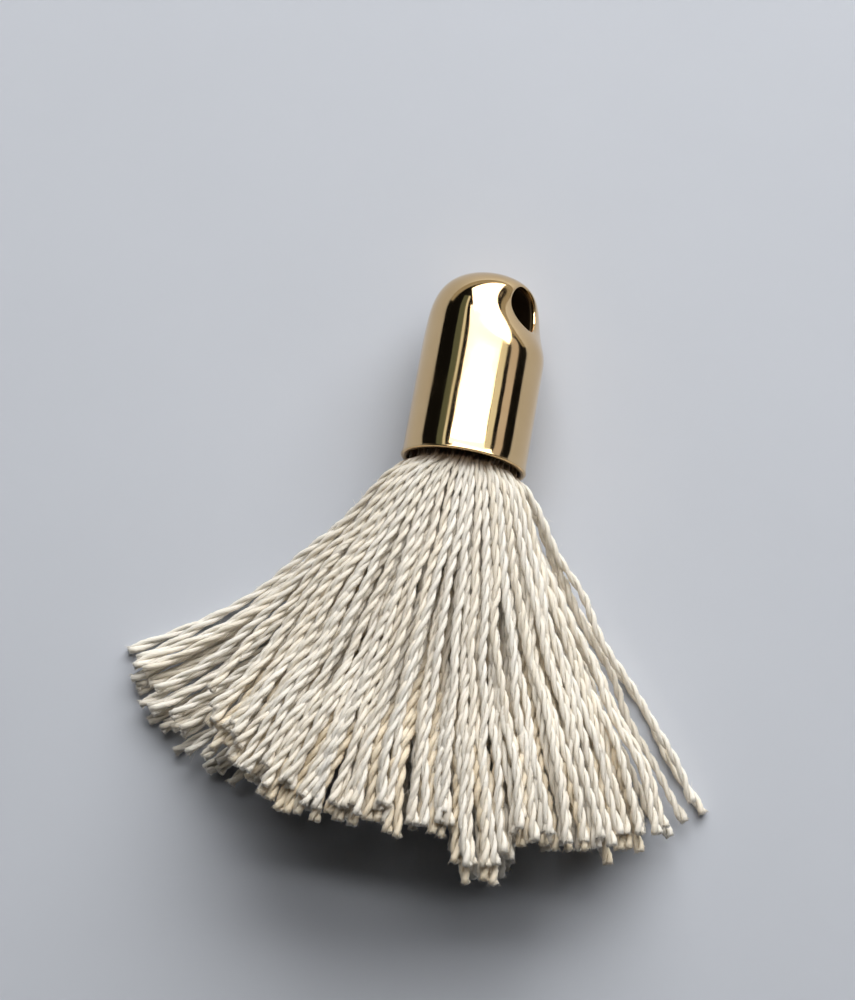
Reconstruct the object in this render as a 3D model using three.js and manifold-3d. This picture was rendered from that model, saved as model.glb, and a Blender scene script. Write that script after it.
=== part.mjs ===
// A small tassel lying on its side: a fanned skirt of plied cotton yarn in a round-ended metal cap.
// Millimetres, +Z up. The floor is z = 0, the cap points along +Y and the skirt fans out along -Y.
import * as THREE from "three";
import { mergeVertices } from "three/addons/utils/BufferGeometryUtils.js";
import Module from "manifold-3d";

const wasm = await Module();
wasm.setup();

// Cap: a thin drawn tube with a domed end, a little wider at its mouth
const CAP_LENGTH = 9.4;
const CAP_MOUTH_RADIUS = 3.0;
const CAP_SHOULDER_RADIUS = 2.93;
const CAP_WALL = 0.3;
const CAP_SIDES = 32;
const DOME_HEIGHT = 2.8;
const DOME_SQUARENESS = 2.45;
const DOME_STEPS = 8;

// Ring hole: drilled across the dome, its near side pressed flatter by the punch
const HOLE_DIAMETER = 2.1;
const HOLE_FROM_TIP = 1.62;
const HOLE_TILT = THREE.MathUtils.degToRad(33);
const HOLE_SIDES = 24;
const PINCH_NEAR = 0.9;
const PINCH_FAR = 0.15;
const PINCH_REACH = 2.4;

// Yarn: strands pressed together where the cap grips them, fuller once they are free
const COLUMN_COUNT = 13;
const COLUMN_SPACING = 0.34;
const STACK_SPACING = 0.36;
const ROOT_SCATTER = 0.025;
const STRAND_WIDTH = 0.42;
const FLOOR_REST = STRAND_WIDTH / 2;
const ROOT_WIDTH = 0.28;
const FULL_WIDTH_AFTER = 7.0;
const ROOT_DEPTH = 0.8;
const ROOT_STUB = 0.5;
const HEAD_GAP = 0.33;
const HEAD_RADIUS = CAP_SHOULDER_RADIUS - CAP_WALL - HEAD_GAP;
const ROOT_INSET = 0.224;
const ROOT_RING = HEAD_RADIUS - ROOT_INSET;
const HEAD_SINK = 0.25;
const HEAD_LENGTH = 4.9;
const HEAD_SIDES = 32;

// Fan: the skirt has slumped to a flat-bottomed fan, widest on the floor and highest in the middle
const FLOOR_FAN = { left: THREE.MathUtils.degToRad(29), right: THREE.MathUtils.degToRad(39) };
const CROWN_FAN = { left: THREE.MathUtils.degToRad(33), right: THREE.MathUtils.degToRad(35) };
const FLOOR_CURL = { left: 5.2, right: 0.3 };
const FLOOR_LAYERS = 4;
const FLOOR_STACK = 0.55;
const CROWN_HEIGHT = 6.9;
const CROWN_ROUNDNESS = 1.2;
const CROWN_GAP = 1.6;
const CROWN_STEP = 0.45;
const FLARE = 0.85;
const FLARE_LENGTH = 1.4;
const FLARE_EASE = 0.25;
const LANDING = 6.5;
const LENGTH_SCATTER = 0.45;
const FLOOR_TRIM = 0.9;
const SWAY = 0.25;
const TRAIT = { length: 1, lane: 2, rootX: 4, rootRise: 5 };

// Lanes: places side by side, in column spacings, that a column's strands move into as the fan opens
const CROWN_LANES = { side: [-0.125, 0.375, -0.375, 0.125], middle: [-0.375, 0.375, -0.125, 0.125] };
const CROWN_COUNT = 4;
const LOW_LANES = [0.0, -0.25, 0.25, 0.5];
const LANE_SCATTER = 0.025;
const LANE_OPENING = { from: 0, to: 7 };
const TIER_OPENING = { from: 9, to: 15 };

// How far each strand reaches, by its place across the fan from left (-1) to right (1)
const TRIM = [
  { across: -1.0, length: 13.6 },
  { across: -0.6, length: 16.8 },
  { across: -0.3, length: 17.7 },
  { across: 0.14, length: 17.3 },
  { across: 0.22, length: 19.5 },
  { across: 0.31, length: 19.5 },
  { across: 0.38, length: 17.4 },
  { across: 0.7, length: 18.3 },
  { across: 1.0, length: 17.8 },
];

// Distances along a strand, as shares of its length, where its section is placed
const STATIONS = [0.09, 0.17, 0.27, 0.41, 0.62, 0.82, 1.0];

const goldMetal = new THREE.MeshStandardMaterial({ color: 0xd9b36c, roughness: 0.12, metalness: 1.0 });
const cottonYarn = new THREE.MeshStandardMaterial({ color: 0xe4ddcd, roughness: 0.95, metalness: 0.0 });

// A closed geometry as a solid that can be joined and cut
function solidFrom(geometry) {
  const bare = geometry.clone();
  bare.deleteAttribute("normal");
  bare.deleteAttribute("uv");
  const merged = mergeVertices(bare, 1e-4);
  const mesh = new wasm.Mesh({
    numProp: 3,
    vertProperties: new Float32Array(merged.attributes.position.array),
    triVerts: new Uint32Array(merged.index.array),
  });
  return new wasm.Manifold(mesh);
}

// A solid as a geometry with flat facets
function geometryFrom(solid) {
  const { vertProperties, triVerts } = solid.getMesh();
  const geometry = new THREE.BufferGeometry();
  geometry.setAttribute("position", new THREE.BufferAttribute(new Float32Array(vertProperties), 3));
  geometry.setIndex(new THREE.BufferAttribute(new Uint32Array(triVerts), 1));
  geometry.computeVertexNormals();
  return geometry;
}

// A repeatable value from -1 to 1 for a strand's number and the trait it varies
function scatter(strand, trait) {
  const wave = Math.sin(strand * 12.9898 + trait * 78.233) * 43758.5453;
  return 2 * (wave - Math.floor(wave)) - 1;
}

// A bullet of revolution about Y with its mouth at mouthY, made smaller all round by inset
function bulletGeometry(inset, mouthY) {
  const shoulder = CAP_SHOULDER_RADIUS - inset;
  const domeBase = CAP_LENGTH - DOME_HEIGHT;
  const pinchBase = CAP_LENGTH - HOLE_FROM_TIP - PINCH_REACH;
  const profile = [new THREE.Vector2(0, mouthY)];
  for (const y of [mouthY, pinchBase, (pinchBase + domeBase) / 2]) {
    const taper = Math.max(0, y) / domeBase;
    const radius = THREE.MathUtils.lerp(CAP_MOUTH_RADIUS, CAP_SHOULDER_RADIUS, taper);
    profile.push(new THREE.Vector2(radius - inset, y));
  }
  for (let step = 0; step <= DOME_STEPS; step++) {
    const turn = (Math.PI / 2) * (step / DOME_STEPS);
    const inward = step === DOME_STEPS ? 0 : Math.cos(turn) ** (2 / DOME_SQUARENESS);
    const upward = Math.sin(turn) ** (2 / DOME_SQUARENESS);
    profile.push(new THREE.Vector2(shoulder * inward, domeBase + (DOME_HEIGHT - inset) * upward));
  }
  // Half a facet of turn puts a flat facet, not an edge, at the bottom of the tube.
  const bullet = new THREE.LatheGeometry(profile, CAP_SIDES, Math.PI / CAP_SIDES);
  return pinch(bullet, shoulder);
}

// Presses a bullet in along the hole's axis, most at the hole and more on the near side
function pinch(geometry, shoulder) {
  const holeAxis = new THREE.Vector3(Math.cos(HOLE_TILT), 0, Math.sin(HOLE_TILT));
  const holeY = CAP_LENGTH - HOLE_FROM_TIP;
  const place = geometry.attributes.position;
  const point = new THREE.Vector3();
  for (let i = 0; i < place.count; i++) {
    point.fromBufferAttribute(place, i);
    const facing = point.dot(holeAxis) / shoulder;
    const away = Math.min(1, Math.abs(point.y - holeY) / PINCH_REACH);
    const nearHole = Math.cos((Math.PI / 2) * away) ** 2;
    const depth = facing > 0 ? PINCH_NEAR : -PINCH_FAR;
    point.addScaledVector(holeAxis, -depth * nearHole * facing * facing);
    place.setXYZ(i, point.x, point.y, point.z);
  }
  return geometry;
}

// The cap's thin shell with its ring hole, mouth at y = 0 and tip at y = CAP_LENGTH
function capGeometry() {
  const outside = solidFrom(bulletGeometry(0, 0));
  const inside = solidFrom(bulletGeometry(CAP_WALL, -1));
  const drill = new THREE.CylinderGeometry(
    HOLE_DIAMETER / 2,
    HOLE_DIAMETER / 2,
    3 * CAP_MOUTH_RADIUS,
    HOLE_SIDES,
  );
  drill.rotateZ(Math.PI / 2);
  drill.rotateY(-HOLE_TILT);
  drill.translate(0, CAP_LENGTH - HOLE_FROM_TIP, 0);
  return geometryFrom(outside.subtract(inside).subtract(solidFrom(drill)));
}

// The lean that lays the tube's bottom facet level, and the axis height that sets it on the floor
const facetShare = Math.cos(Math.PI / CAP_SIDES);
const tubeLength = CAP_LENGTH - DOME_HEIGHT;
const capLean = Math.atan(((CAP_MOUTH_RADIUS - CAP_SHOULDER_RADIUS) * facetShare) / tubeLength);
const mouthHeight = CAP_MOUTH_RADIUS * facetShare * Math.cos(capLean);

// The trimmed length at a place across the fan, between the table's rows
function trimmedLength(across) {
  const place = THREE.MathUtils.clamp(across, -1, 1);
  const next = Math.max(1, TRIM.findIndex((row) => place <= row.across));
  const [low, high] = [TRIM[next - 1], TRIM[next]];
  return THREE.MathUtils.mapLinear(place, low.across, high.across, low.length, high.length);
}

// Where the strands leave the head: columns stacked across its round end, each counted from below
function strandRoots() {
  const roots = [];
  for (let column = 0; column < COLUMN_COUNT; column++) {
    const offset = column - (COLUMN_COUNT - 1) / 2;
    const x = offset * COLUMN_SPACING;
    const chord = Math.sqrt(ROOT_RING * ROOT_RING - x * x);
    const layers = Math.floor((2 * chord) / STACK_SPACING) + 1;
    const sideLanes = CROWN_LANES.side.map((lane) => lane * Math.sign(offset));
    const crownLanes = offset === 0 ? CROWN_LANES.middle : sideLanes;
    for (let layer = 0; layer < layers; layer++) {
      const number = roots.length;
      const level = (layer - (layers - 1) / 2) * STACK_SPACING;
      roots.push({
        number,
        x: x + ROOT_SCATTER * scatter(number, TRAIT.rootX),
        rise: level + ROOT_SCATTER * scatter(number, TRAIT.rootRise),
        crown: chord / ROOT_RING,
        layer,
        layers,
        crownLanes,
      });
    }
  }
  return roots;
}

// Where a strand's end settles: in the stack on the floor, in the middle, or in the crown
function tierHeight(layer, layers, crownEnd) {
  const stackTop = FLOOR_REST + FLOOR_STACK * FLOOR_LAYERS;
  if (layer < FLOOR_LAYERS) return FLOOR_REST + FLOOR_STACK * layer;
  const fromTop = layers - 1 - layer;
  if (fromTop < CROWN_COUNT) return crownEnd - CROWN_STEP * Math.max(0, fromTop - 1);
  const middle = (layer - FLOOR_LAYERS + 0.5) / (layers - FLOOR_LAYERS - CROWN_COUNT);
  return THREE.MathUtils.lerp(stackTop, crownEnd - CROWN_GAP, middle);
}

// How far the low strands at a place across the fan have curled outward at their ends
function floorCurl(place) {
  const outward = THREE.MathUtils.smoothstep(Math.abs(place), 0, 0.8);
  return place < 0 ? -FLOOR_CURL.left * outward : FLOOR_CURL.right * outward;
}

// A line over the floor: it springs outward as it clears the mouth, then runs off at its own angle
function planLine(root, place, length, lowness) {
  const side = place < 0 ? "left" : "right";
  const angle = place * THREE.MathUtils.lerp(CROWN_FAN[side], FLOOR_FAN[side], lowness);
  const start = new THREE.Vector2(root.x, root.y - ROOT_STUB);
  const corner = new THREE.Vector2(place * ROOT_RING * (1 + FLARE), start.y - FLARE_LENGTH);
  const reach = length - ROOT_STUB - FLARE_LENGTH;
  const end = new THREE.Vector2(corner.x + reach * Math.sin(angle), corner.y - reach * Math.cos(angle));
  return new THREE.CubicBezierCurve(start, corner, corner.clone().lerp(end, FLARE_EASE), end);
}

// One strand's line from the cap's mouth to its cut end, as stations with a centre and a width
function strandStations({ number, x, rise, crown, layer, layers, crownLanes }) {
  const root = new THREE.Vector3(x, HEAD_SINK, mouthHeight + rise);

  // Height: a column opens out evenly at first, then settles into tiers with its lowest strand level.
  const onFloor = layer === 0;
  const crownEnd = CROWN_HEIGHT * crown ** CROWN_ROUNDNESS;
  const share = layers > 1 ? layer / (layers - 1) : 0;
  const stackTop = FLOOR_REST + FLOOR_STACK * Math.min(layers - 1, FLOOR_LAYERS);
  const openHeight = THREE.MathUtils.lerp(FLOOR_REST, Math.max(crownEnd, stackTop), share);
  const endHeight = tierHeight(layer, layers, crownEnd);

  // Plan: the strand moves from its column's line into its own lane.
  const fromTop = layers - 1 - layer;
  const inCrown = fromTop < CROWN_COUNT && layer >= FLOOR_LAYERS;
  const tierLane = inCrown ? crownLanes[fromTop] : LOW_LANES[layer % LOW_LANES.length];
  const lane = tierLane + LANE_SCATTER * scatter(number, TRAIT.lane);
  const across = (x + lane * COLUMN_SPACING) / ROOT_RING;
  const lowness = inCrown ? 0 : Math.max(0, 1 - layer / FLOOR_LAYERS);
  const uneven = LENGTH_SCATTER * scatter(number, TRAIT.length);
  const length = trimmedLength(across) - FLOOR_TRIM * lowness + uneven;

  const stations = [
    { centre: root.clone().setY(root.y + ROOT_DEPTH), width: ROOT_WIDTH },
    { centre: root.clone().setY(root.y - ROOT_STUB), width: ROOT_WIDTH },
  ];
  for (const along of STATIONS) {
    const travelled = along * length;
    const settling = Math.min(1, travelled / (onFloor ? LANDING : length));
    const tiered = THREE.MathUtils.smoothstep(travelled, TIER_OPENING.from, TIER_OPENING.to);
    const target = THREE.MathUtils.lerp(openHeight, endHeight, tiered);
    const height = THREE.MathUtils.lerp(root.z, target, 1 - (1 - settling) ** 2);
    const opened = THREE.MathUtils.smoothstep(travelled, LANE_OPENING.from, LANE_OPENING.to);
    const place = THREE.MathUtils.lerp(x / ROOT_RING, across, opened);
    const flat = planLine(root, place, length, lowness).getPointAt(along);
    const curl = floorCurl(place) * Math.sqrt(lowness) * along ** 2.5;
    const sway = SWAY * along * Math.sin(2 * Math.PI * along + 4 * across) + curl;
    const grown = THREE.MathUtils.smoothstep(travelled, 0, FULL_WIDTH_AFTER);
    stations.push({
      centre: new THREE.Vector3(flat.x + sway, flat.y, height),
      width: THREE.MathUtils.lerp(ROOT_WIDTH, STRAND_WIDTH, grown),
    });
  }
  return stations;
}

// A closed four-sided strand through its stations, its lower side level where the strand is level
function strandGeometry(stations) {
  const corners = [
    [1, 1],
    [-1, 1],
    [-1, -1],
    [1, -1],
  ];
  const up = new THREE.Vector3(0, 0, 1);
  const points = [];
  const faces = [];
  stations.forEach(({ centre, width }, k) => {
    const before = stations[Math.max(k - 1, 0)].centre;
    const after = stations[k < 2 ? 1 : Math.min(k + 1, stations.length - 1)].centre;
    const along = after.clone().sub(before).normalize();
    const side = along.clone().cross(up).normalize();
    const over = side.clone().cross(along);
    for (const [toSide, toTop] of corners) {
      const corner = centre.clone();
      corner.addScaledVector(side, (toSide * width) / 2).addScaledVector(over, (toTop * width) / 2);
      points.push(corner.x, corner.y, corner.z);
    }
    if (k === 0) return;
    for (let c = 0; c < corners.length; c++) {
      const [a, b] = [(k - 1) * 4 + c, (k - 1) * 4 + ((c + 1) % 4)];
      faces.push(a, b + 4, b, a, a + 4, b + 4);
    }
  });
  const last = points.length / 3 - 4;
  faces.push(0, 1, 2, 0, 2, 3, last, last + 2, last + 1, last, last + 3, last + 2);
  const geometry = new THREE.BufferGeometry();
  geometry.setAttribute("position", new THREE.Float32BufferAttribute(points, 3));
  geometry.setIndex(faces);
  return geometry;
}

// The yarn: a round head inside the cap with every strand rooted in it
function skirtGeometry() {
  const head = new THREE.CylinderGeometry(HEAD_RADIUS, HEAD_RADIUS, HEAD_LENGTH, HEAD_SIDES);
  head.translate(0, HEAD_SINK + HEAD_LENGTH / 2, 0);
  head.rotateX(-capLean);
  head.translate(0, 0, mouthHeight);
  const pieces = [solidFrom(head)];
  for (const root of strandRoots()) {
    pieces.push(solidFrom(strandGeometry(strandStations(root))));
  }
  return geometryFrom(wasm.Manifold.union(pieces));
}

const cap = new THREE.Mesh(capGeometry(), goldMetal);
cap.name = "gold_cap";
cap.rotation.x = -capLean;
cap.position.z = mouthHeight;

const skirt = new THREE.Mesh(skirtGeometry(), cottonYarn);
skirt.name = "yarn_skirt";

// The part's origin lies on the floor under the middle of its box.
const tassel = new THREE.Group();
tassel.add(cap, skirt);
const box = new THREE.Box3().setFromObject(tassel, true);
const middle = box.getCenter(new THREE.Vector3());
tassel.position.set(-middle.x, -middle.y, -box.min.z);

export default tassel;
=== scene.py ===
"""Looks of a small tassel lying on its side: plied cotton yarn in a polished, round-ended metal cap."""

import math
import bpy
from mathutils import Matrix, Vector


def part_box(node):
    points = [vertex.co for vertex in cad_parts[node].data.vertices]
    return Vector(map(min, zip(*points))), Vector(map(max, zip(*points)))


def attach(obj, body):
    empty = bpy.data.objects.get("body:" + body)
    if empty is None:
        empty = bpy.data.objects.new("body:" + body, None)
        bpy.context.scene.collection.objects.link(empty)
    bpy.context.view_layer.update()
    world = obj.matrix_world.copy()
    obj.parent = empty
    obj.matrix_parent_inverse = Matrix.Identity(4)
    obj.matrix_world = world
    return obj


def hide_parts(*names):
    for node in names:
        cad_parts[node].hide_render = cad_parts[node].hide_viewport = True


bl_info = {
    "name": "Capped Tassel",
    "version": (1, 0, 0),
    "blender": (4, 5, 0),
    "location": "3D View > Sidebar > Tassel",
    "description": "Builds a capped cotton tassel that lies fanned out on a pale studio floor",
    "category": "Object",
}

from collections import namedtuple

import bpy
import numpy as np
from bpy.props import FloatProperty, FloatVectorProperty, IntProperty, PointerProperty
from mathutils import Matrix, Vector

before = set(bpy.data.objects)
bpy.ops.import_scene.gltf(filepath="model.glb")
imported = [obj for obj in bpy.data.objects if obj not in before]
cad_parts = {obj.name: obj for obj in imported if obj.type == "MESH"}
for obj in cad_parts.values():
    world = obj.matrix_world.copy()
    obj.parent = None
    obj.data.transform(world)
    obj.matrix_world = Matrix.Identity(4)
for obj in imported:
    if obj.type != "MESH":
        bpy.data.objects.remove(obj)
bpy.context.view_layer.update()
MM = 0.001

# Cap: where its shell lies is taken from the solid, its facets rounded off to the circle inside them
CAP_LOW, CAP_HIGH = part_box("gold_cap")
CAP_LENGTH = 9.4 * MM
DOME_HEIGHT = 2.8 * MM
DOME_SQUARENESS = 2.45
FACET_SHARE = math.cos(math.pi / 32)
MOUTH_RADIUS = 3.0 * MM * FACET_SHARE
SHOULDER_RADIUS = 2.93 * MM * FACET_SHARE
CAP_WALL = 0.3 * MM
CAP_LEAN = math.atan((MOUTH_RADIUS - SHOULDER_RADIUS) / (CAP_LENGTH - DOME_HEIGHT))
MOUTH_Y = CAP_LOW.y + MOUTH_RADIUS * math.sin(CAP_LEAN)
MOUTH = Vector(((CAP_LOW.x + CAP_HIGH.x) / 2, MOUTH_Y, MOUTH_RADIUS * math.cos(CAP_LEAN)))
RIM_FLARE = 0.045 * MM
RIM_FLARE_LENGTH = 0.5 * MM
HOLE_FROM_TIP = 1.62 * MM
HOLE_TILT = math.radians(33)
PINCH_REACH = 2.4 * MM
INNER_LIP_SHARE = 0.4
INNER_HOLE_EDGE = 0.02 * MM

# Mesh of the shell: steps over its dome and lip, rows of its tube that crowd towards the mouth, and the
# gap for the hole: its share of the columns to either side and its span along the cap
DOME_STEPS = 44
LIP_STEPS = 16
TUBE_ROWS = {"outside": 40, "inside": 30}
ROW_CROWDING = 1.6
HOLE_RINGS = 10
HOLE_EDGE_STEPS = 5
HOLE_GAP_SHARE = 33.75 / 360
HOLE_GAP_ROWS = (6.33 * MM, 9.11 * MM)

# Yarn: the strands' own lines, as in the solids
COLUMN_COUNT = 13
COLUMN_SPACING = 0.34 * MM
STACK_SPACING = 0.36 * MM
ROOT_SCATTER = 0.025 * MM
ROOT_RING = 2.076 * MM
ROOT_DEPTH = 0.8 * MM
ROOT_STUB = 0.5 * MM
HEAD_SINK = 0.25 * MM
HEAD_LENGTH = 4.9 * MM
FLOOR_FAN = {"left": math.radians(29), "right": math.radians(39)}
CROWN_FAN = {"left": math.radians(33), "right": math.radians(35)}
FLOOR_CURL = {"left": 5.2 * MM, "right": 0.3 * MM}
FLOOR_LAYERS = 4
FLOOR_STACK = 0.55 * MM
CROWN_HEIGHT = 6.9 * MM
CROWN_ROUNDNESS = 1.2
CROWN_COUNT = 4
CROWN_GAP = 1.6 * MM
CROWN_STEP = 0.45 * MM
FLARE = 0.85
FLARE_LENGTH = 1.4 * MM
FLARE_EASE = 0.25
LANDING = 6.5 * MM
LENGTH_SCATTER = 0.45 * MM
FLOOR_TRIM = 0.9 * MM
SWAY = 0.25 * MM
SWAY_PHASE = 4
CURL_PLACE = 0.8
CURL_EASE = 2.5
CURVE_STEPS = 100
STUB_STEPS = 9

# Looks of a strand along its run: how it swells out of the mouth, works loose, leans and changes in girth
REST_SHARE = 1.05
SWELL_GROWTH = (-0.2 * MM, 0.7 * MM)
SWELL_PEAK = 1.6
SWELL_UPWARD = 0.3
SWELL_FADE = (0.7 * MM, 5 * MM)
LOOSENING = (1 * MM, 7 * MM)
EDGE_PLACE = 0.85
EDGE_LOOSENESS = 1.7
LEANING = (3 * MM, 9 * MM)
ROOT_GIRTH = 0.85
GIRTH_OPENING = (0 * MM, 5 * MM)
BLOOM_LENGTH = 1.1 * MM
FLOOR_CLEARANCE = 0.012 * MM
TONE_SCATTER = 0.5

# Waves along a strand, and across the fan for the clumps
Wave = namedtuple("Wave", "share length phase")
STRAY_ACROSS = [Wave(0.45, 0.72 * MM, 5), Wave(0.7, 1.25 * MM, 3), Wave(1.0, 2.7 * MM, 1)]
STRAY_UPWARD = [Wave(0.6, 2.1 * MM, 2)]
SLUBS = [Wave(0.05, 0.9 * MM, 5)]
TWIST_DRIFT = [Wave(0.35, 2.9 * MM, 7)]
CLUMPS = [Wave(1.0, 0.105, 0.6), Wave(0.7, 0.171, 2.0)]

# Plies
PITCH_SCATTER = 0.09
PLY_GAP = 0.002 * MM
PLY_WIDENING = 1.08
PLY_DOME = 0.35
PLY_TONE = 0.15

# Loose fibres: how far they bend, their shortest and longest in mm, and their share of the fibre's girth
Hair = namedtuple("Hair", "bend shortest longest girth")
BRUSH = Hair(0.18, 0.1, 0.24, 1.0)
FUZZ = Hair(0.3, 0.15, 0.6, 0.7)
FIBRE_SEED = 20
FIBRE_STEPS = np.array([0.0, 0.4, 0.75, 1.0])
FIBRE_TAPER = np.array([1.0, 0.9, 0.7])
FIBRE_CLEARANCE = 1.5
FIBRE_TONE_SCATTER = 0.4
BRUSH_DEPTH = 0.12 * MM
BRUSH_REACH = 1.05
BRUSH_SPREAD = 0.35
BRUSH_SPREAD_SCATTER = 0.15
FUZZ_FIRST_STEP = 12
FUZZ_REACH = 0.75
FUZZ_ALONG = 0.9
FUZZ_OUTWARD = 0.45

# Fibres take their colour from this far along the run, in mm
FIBRE_RUN = 5.0

# Gathered head, drawn in a little at the end towards the mouth
HEAD_START = HEAD_SINK + 0.5 * MM
HEAD_END_GIRTH = 0.9
HEAD_END_RUN = 2 * MM
HEAD_RADIUS = 2.32 * MM
HEAD_ROWS = 40
HEAD_COLUMNS = 192
HEAD_TONE = 0.3
FLUTE_DEPTH = 0.2 * MM
FLUTE_WAVES = 16
FLUTE_TWIST = 0.9

# Lanes: places side by side, in column spacings, that a column's strands move into as the fan opens
CROWN_LANES = {"side": (-0.125, 0.375, -0.375, 0.125), "middle": (-0.375, 0.375, -0.125, 0.125)}
LOW_LANES = (0.0, -0.25, 0.25, 0.5)
LANE_SCATTER = 0.025
LOCK_COLUMNS = {"strands_left_lock": (-5.5, -4.5, -3.5), "strands_right_lock": (4.5, 3.5, 2.5)}
LOCK_LAYERS = (0.4, 0.9, 1.4, 1.9, 2.4)
LOCK_SPREAD = 0.5
LANE_OPENING = (0 * MM, 7 * MM)
TIER_OPENING = (9 * MM, 15 * MM)

# Strands between the columns: their piece, their lane, how far under the crown they end and start in mm
Between = namedtuple("Between", "piece lane sink depth")
UNDER_CROWN = 0.25 * MM
UNDER_LENGTH = 0.6 * MM
UNDER_FULLNESS = 0.38
UNDER_TAPER = (0.5 * MM, 4 * MM)
# Painted shade: strands under the crown are coloured darker and browner for the shade between the crown's
# strands
UNDER_PAINTED_SHADE = 1.5
BETWEEN_FIRST_NUMBER = 200
BETWEENS = [
    Between("strands_between", 0.0, 0.08, 0.1),
    Between("strands_between", -0.25, 0.1, 0.3),
    Between("strands_between", 0.25, 0.12, 0.5),
    Between("strands_between", 0.5, 0.15, 0.7),
    Between("strands_under", -0.375, 0.3, 0.9),
    Between("strands_under", 0.125, 0.36, 1.1),
    Between("strands_under", -0.125, 0.44, 1.3),
    Between("strands_under", 0.375, 0.55, 1.5),
]

# Traits that vary from strand to strand, and the numbers that scatter them
TRAIT = {"length": 1, "lane": 2, "root_x": 4, "root_rise": 5, "twist": 6, "tone": 7, "wave": 8, "pitch": 9}
STRAND_STRIDE = 12.9898
TRAIT_STRIDE = 78.233
SCATTER_SCALE = 43758.5453

# How far a strand reaches in mm, by its place across the fan from left (-1) to right (1)
TRIMS = {
    -1.0: 13.6, -0.6: 16.8, -0.3: 17.7, 0.14: 17.3, 0.22: 19.5,
    0.31: 19.5, 0.38: 17.4, 0.7: 18.3, 1.0: 17.8,
}

# Strands are kept in pieces by the layers that they lie in, counted from the floor
STRAND_PIECES = {
    "strands_floor": range(0, 2),
    "strands_lower": range(2, 5),
    "strands_middle": range(5, 8),
    "strands_crown": range(8, 99),
}

# Lamps: turned across (towards +X) and back (towards +Y) from overhead, and as wide and deep as seen,
# in degrees; a card shows only in reflections
Lamp = namedtuple("Lamp", "name use across back width depth strength colour")
LAMP_DISTANCE = 0.3
LAMPS = [
    Lamp("back_window", "light", 13.5, 52, 67, 44, 4.75, (1.0, 0.99, 0.965)),
    Lamp("overhead_fill", "light", 1, 15, 60, 10, 4.0, (1.0, 0.99, 0.965)),
    Lamp("overhead_card", "card", 1, 17, 60, 30, 2.9, (1.0, 1.0, 1.0)),
    Lamp("cream_card", "card", 39.5, 18, 11, 44, 0.97, (0.96, 1.0, 0.92)),
    Lamp("rose_card", "card", 61.5, 18, 15, 44, 0.66, (1.0, 0.95, 0.96)),
    Lamp("thin_card", "card", -42, 18, 5, 44, 0.92, (0.97, 1.0, 0.92)),
    Lamp("olive_card", "card", -51, 18, 12, 44, 0.15, (0.8, 1.0, 0.76)),
    Lamp("sill_card", "card", 0, 83, 120, 16, 0.42, (1.0, 0.95, 0.82)),
    Lamp("front_card", "card", 0, -14, 90, 12, 0.12, (1.0, 0.97, 0.9)),
]

# Stage: how far the floor reaches in metres and the depth of its shade, how far the picture's centre
# lies left of and below the cap's mouth, the film's width and the lens as a multiple of it
FLOOR_REACH = 3.0
FLOOR_SHADE = 0.93
VIEW_SHIFT = (1.667 * MM, 1.596 * MM)
FILM_WIDTH = 36.0
LENS_LENGTH = 2.982

Root = namedtuple("Root", "number x rise crown layer layers lane in_crown sink")
Strand = namedtuple("Strand", "root line travelled girth tone")


class TasselCapSettings(bpy.types.PropertyGroup):
    """Sizes and finish of the metal cap"""

    hole_diameter: FloatProperty(
        name="Ring Hole", description="Diameter of the cross hole",
        default=2.1 * MM, unit="LENGTH", precision=5,
    )
    hole_edge: FloatProperty(
        name="Hole Edge", description="Radius of the hole's rolled edge",
        default=0.14 * MM, unit="LENGTH", precision=5,
    )
    press_near: FloatProperty(
        name="Press Near", description="How far the near side is pressed in",
        default=0.9 * MM, unit="LENGTH", precision=5,
    )
    press_far: FloatProperty(
        name="Press Far", description="How far the far side is pressed in",
        default=0.15 * MM, unit="LENGTH", precision=5,
    )
    lip_length: FloatProperty(
        name="Lip", description="Length of the rounded lip at the mouth",
        default=0.09 * MM, unit="LENGTH", precision=5,
    )
    columns: IntProperty(name="Columns", description="Faces round the shell", default=160, min=32)
    # Painted shade: the inside of the cap, the inner part of its lip and the walls of the hole are
    # coloured near-black brown for the shade there; the rougher inside is its duller finish
    inside: FloatVectorProperty(
        name="Inside", description="Colour of the dull inside",
        default=(0.13, 0.09, 0.05), subtype="COLOR",
    )
    colour: FloatVectorProperty(
        name="Metal", description="Colour of the polished metal",
        default=(0.74, 0.54, 0.3), subtype="COLOR",
    )
    tarnish: FloatVectorProperty(
        name="Tarnish", description="Colour where the polish has dulled",
        default=(0.63, 0.43, 0.21), subtype="COLOR",
    )


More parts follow.
